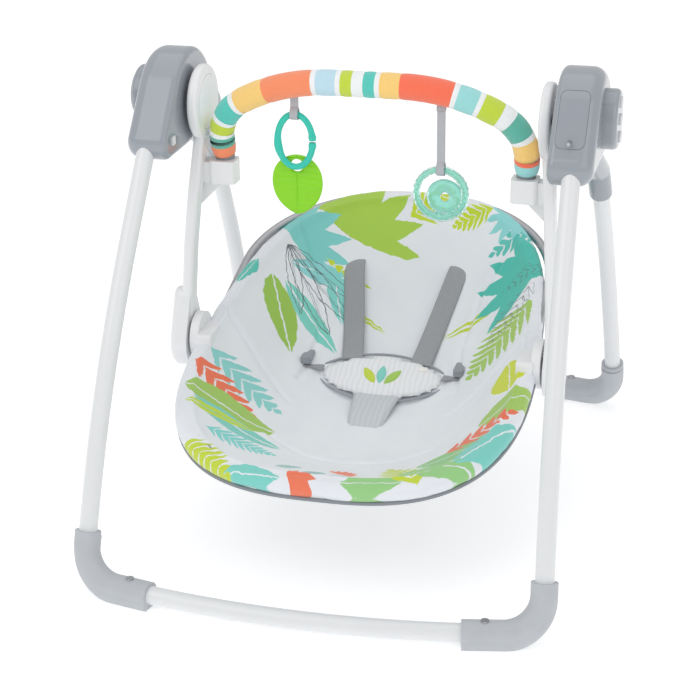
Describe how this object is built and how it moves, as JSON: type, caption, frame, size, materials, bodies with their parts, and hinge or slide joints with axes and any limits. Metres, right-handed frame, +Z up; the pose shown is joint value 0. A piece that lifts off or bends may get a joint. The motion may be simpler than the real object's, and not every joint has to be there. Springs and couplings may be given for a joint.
{
  "type": "baby swing",
  "caption": "Portable baby swing: folding tube stand, motor hub, padded reclining seat on two swing arms, lift-off toy bar with hanging toys.",
  "frame": {"origin": "on the floor, midway between the four feet", "axes": "+Z up, -Y towards the front where the baby's feet point, X along the swing axis with the controls at +X"},
  "size_m": [0.602, 0.7679, 0.578],
  "materials": {
    "tube_white": "satin powder coat",
    "arm_white": "glossy moulded",
    "hub_grey": "glossy moulded",
    "boot_grey": "matte moulded",
    "button_light": "satin moulded",
    "button_grey": "satin moulded",
    "seat_print": "printed woven polyester",
    "seat_under": "woven polyester",
    "webbing_grey": "woven webbing",
    "pad_silver": "knitted polyester",
    "bar_stripes": "striped plush jersey",
    "ribbon_grey": "woven ribbon",
    "link_teal": "glossy moulded",
    "leaf_lime": "glossy moulded",
    "teether_mint": "translucent moulded",
    "steel": "turned",
    "bush_natural": "moulded",
    "board_green": "laminated",
    "cell_wrap": "printed wrap"
  },
  "bodies": {
    "stand": {"front_leg_tube": "tube_white", "left_front_foot": "boot_grey", "right_front_foot": "boot_grey", "front_foot_screws": "steel", "left_hub_inner_shell": "hub_grey", "left_hub_outer_shell": "hub_grey", "right_hub_inner_shell": "hub_grey", "right_hub_outer_shell": "hub_grey", "hub_screws": "steel", "left_hub_cap": "hub_grey", "control_pod": "hub_grey", "axle_bushes": "bush_natural", "battery_cells": "cell_wrap", "circuit_board": "board_green", "speaker": "cell_wrap", "drive_motor": "steel"},
    "rear_legs": {"rear_leg_tube": "tube_white", "left_rear_foot": "boot_grey", "right_rear_foot": "boot_grey", "rear_foot_screws": "steel", "left_leg_knuckle": "hub_grey", "right_leg_knuckle": "hub_grey"},
    "left_leg_lock": {"left_leg_button": "button_light"},
    "right_leg_lock": {"right_leg_button": "button_light"},
    "door": {"battery_door": "hub_grey", "battery_door_screw": "steel"},
    "speed_control": {"speed_button": "button_light"},
    "music_control": {"music_button": "button_light"},
    "timer_control": {"timer_button": "button_light"},
    "pinion": {"motor_pinion": "bush_natural"},
    "gear": {"drive_gear": "bush_natural"},
    "swing": {"left_axle": "steel", "right_axle": "steel", "left_arm": "arm_white", "right_arm": "arm_white", "left_arm_cap": "arm_white", "right_arm_cap": "arm_white", "left_seat_bracket": "arm_white", "right_seat_bracket": "arm_white"},
    "left_recline": {"left_recline_button": "button_grey"},
    "right_recline": {"right_recline_button": "button_grey"},
    "seat": {"left_seat_hub": "arm_white", "right_seat_hub": "arm_white", "seat_front_tube": "steel", "seat_back_tube": "steel", "seat_cover": "seat_print", "harness_pad": "pad_silver", "crotch_strap": "pad_silver", "shoulder_straps": "webbing_grey", "waist_straps": "webbing_grey", "harness_buckles": "button_grey"},
    "toy_bar": {"toy_bar_tube": "bush_natural", "toy_bar_sleeve": "bar_stripes", "left_ferrule": "button_grey", "right_ferrule": "button_grey", "left_ribbon": "ribbon_grey"},
    "link": {"toy_link": "link_teal"},
    "leaf": {"toy_leaf": "leaf_lime"},
    "teether": {"right_ribbon": "ribbon_grey", "toy_teether": "teether_mint"}
  },
  "joints": [
    {"name": "swing_hinge", "type": "hinge", "parent": "stand", "child": "swing", "pos_m": [0, -0.005, 0.513], "axis": [1, 0, 0], "range_deg": [-12, 12]},
    {"name": "rear_leg_fold", "type": "hinge", "parent": "stand", "child": "rear_legs", "pos_m": [0, -0.005, 0.513], "axis": [-1, 0, 0], "range_deg": [0, 48]},
    {"name": "seat_recline", "type": "hinge", "parent": "swing", "child": "seat", "pos_m": [0, -0.042, 0.21699], "axis": [1, 0, 0], "range_deg": [0, 15]},
    {"name": "toy_bar_lift", "type": "slide", "parent": "swing", "child": "toy_bar", "axis": [0, 0, 1], "range_m": [0, 0.022]},
    {"name": "link_swing", "type": "hinge", "parent": "toy_bar", "child": "link", "pos_m": [-0.0905, -0.03, 0.51], "axis": [1, 0, 0], "range_deg": [-30, 30]},
    {"name": "leaf_swing", "type": "hinge", "parent": "link", "child": "leaf", "pos_m": [-0.0905, -0.02275, 0.444], "axis": [0, 1, 0], "range_deg": [-30, 30]},
    {"name": "teether_swing", "type": "hinge", "parent": "toy_bar", "child": "teether", "pos_m": [0.0905, -0.03, 0.527], "axis": [1, 0, 0], "range_deg": [-25, 25]},
    {"name": "battery_door_pull", "type": "slide", "parent": "stand", "child": "door", "axis": [0, -1, 0], "range_m": [0, 0.03]},
    {"name": "speed_press", "type": "slide", "parent": "stand", "child": "speed_control", "axis": [-1, 0, 0], "range_m": [0, 0.0015], "stiffness_N_per_m": 400},
    {"name": "music_press", "type": "slide", "parent": "stand", "child": "music_control", "axis": [-1, 0, 0], "range_m": [0, 0.0015], "stiffness_N_per_m": 400},
    {"name": "timer_press", "type": "slide", "parent": "stand", "child": "timer_control", "axis": [-1, 0, 0], "range_m": [0, 0.0015], "stiffness_N_per_m": 400},
    {"name": "right_leg_lock_press", "type": "slide", "parent": "stand", "child": "right_leg_lock", "axis": [1, 0, 0], "range_m": [0, 0.002], "stiffness_N_per_m": 400},
    {"name": "left_leg_lock_press", "type": "slide", "parent": "stand", "child": "left_leg_lock", "axis": [-1, 0, 0], "range_m": [0, 0.002], "stiffness_N_per_m": 400},
    {"name": "right_recline_press", "type": "slide", "parent": "swing", "child": "right_recline", "axis": [-1, 0, 0], "range_m": [0, 0.003], "stiffness_N_per_m": 500},
    {"name": "left_recline_press", "type": "slide", "parent": "swing", "child": "left_recline", "axis": [1, 0, 0], "range_m": [0, 0.003], "stiffness_N_per_m": 500},
    {"name": "gear_spin", "type": "hinge", "parent": "stand", "child": "gear", "pos_m": [0.2655, 0.04, 0.52], "axis": [1, 0, 0], "continuous": true},
    {"name": "pinion_spin", "type": "hinge", "parent": "stand", "child": "pinion", "pos_m": [0.2655, 0.04, 0.544], "axis": [1, 0, 0], "continuous": true}
  ],
  "couplings": [
    {"joint": "pinion_spin", "follows": "gear_spin", "ratio": -3}
  ]
}
